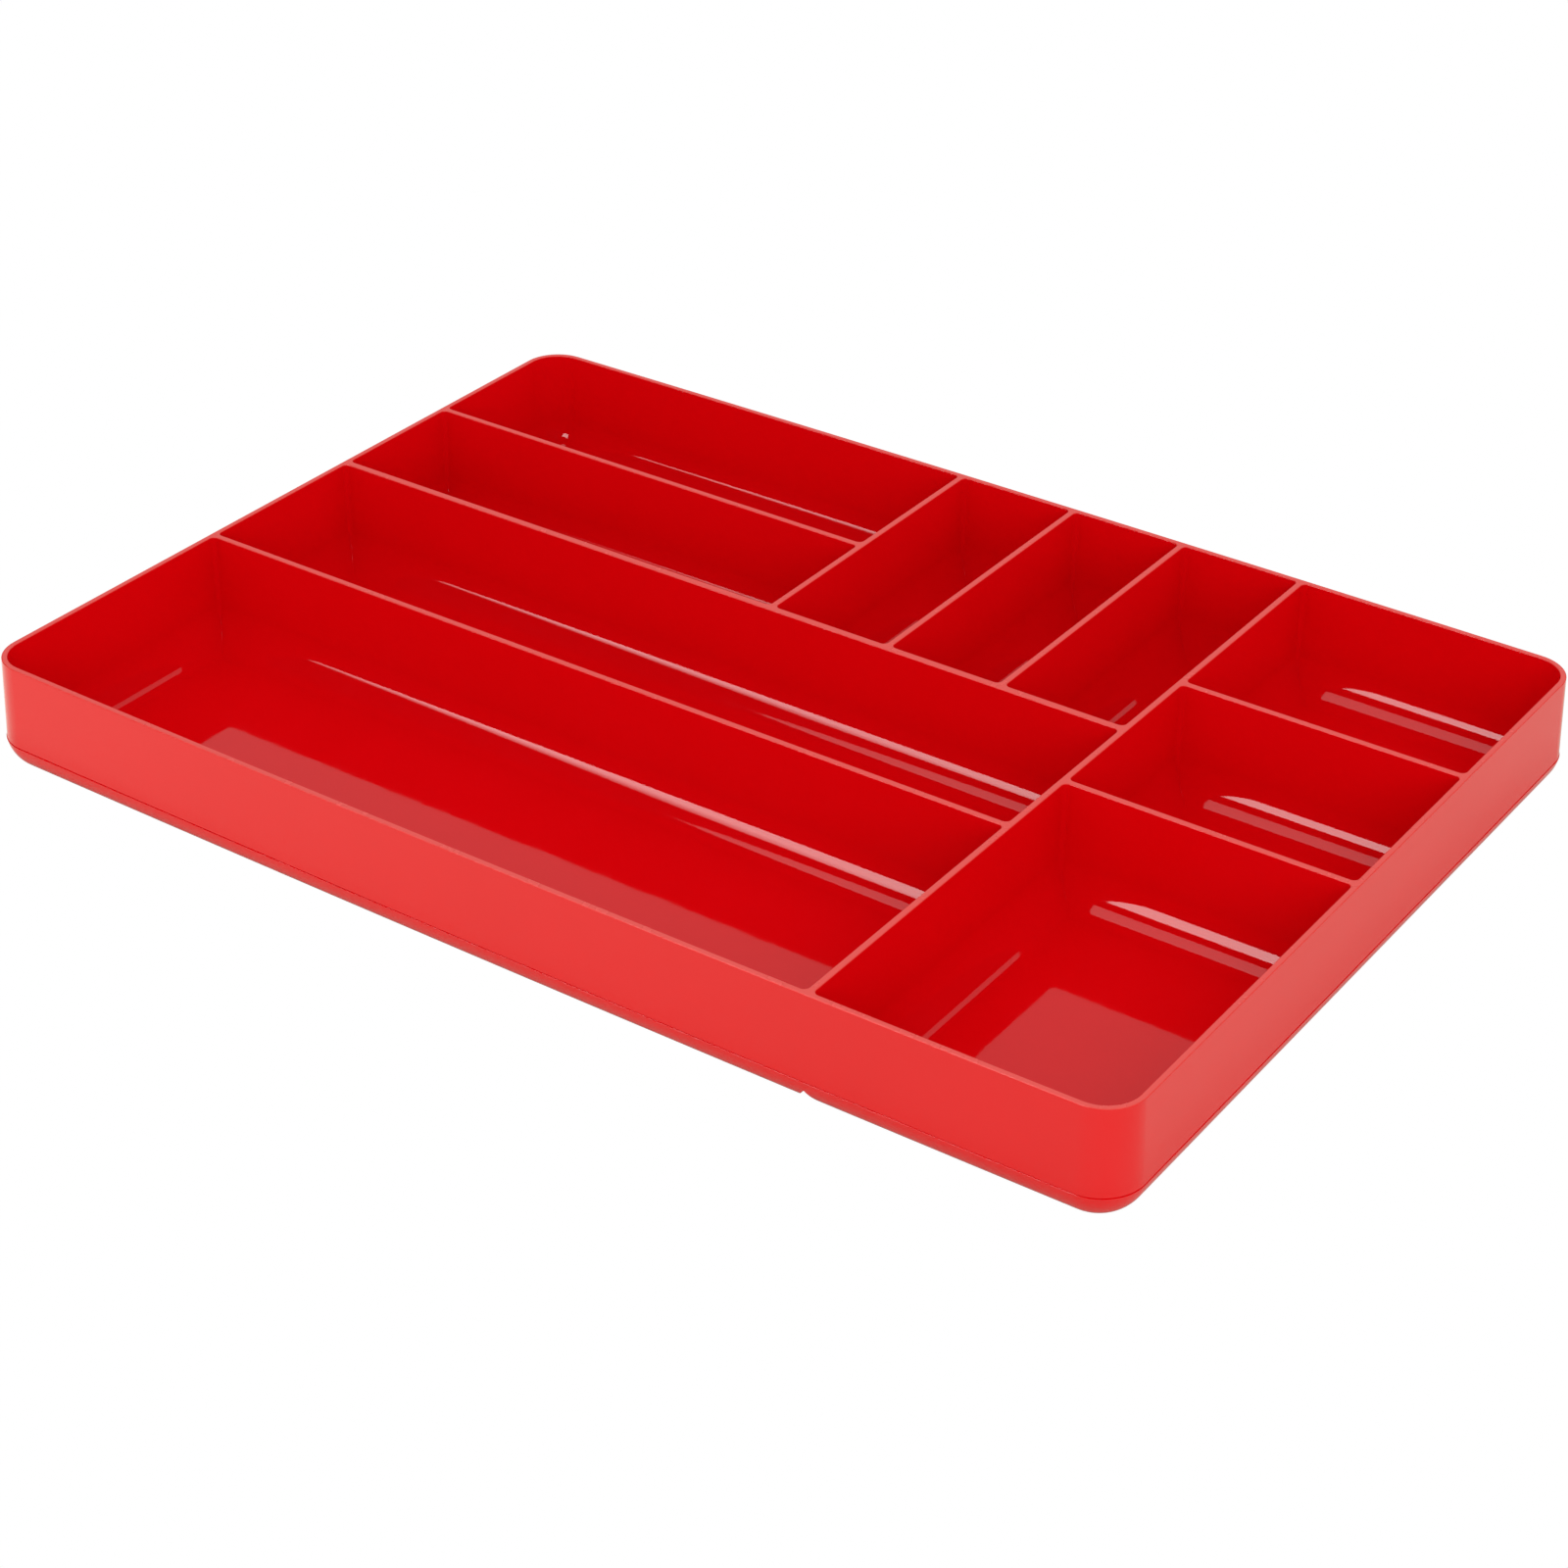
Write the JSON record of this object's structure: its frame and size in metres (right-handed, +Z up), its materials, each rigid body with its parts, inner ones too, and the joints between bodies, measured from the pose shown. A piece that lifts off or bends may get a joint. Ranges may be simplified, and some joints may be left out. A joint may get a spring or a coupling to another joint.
{
  "type": "divided organiser tray",
  "caption": "Shallow open organiser tray moulded in one piece, with long, short and small rectangular compartments for tools and parts.",
  "frame": {"origin": "centre of the underside, in the plane that the tray rests on", "axes": "+X along the length, towards the end with three wide compartments; +Y from the long front wall to the back wall; +Z up, out of the open top"},
  "size_m": [0.4064, 0.288, 0.0387],
  "materials": {
    "tray_plastic": "glossy red, coloured through"
  },
  "bodies": {
    "root": {"organiser_tray": "tray_plastic"}
  },
  "joints": []
}
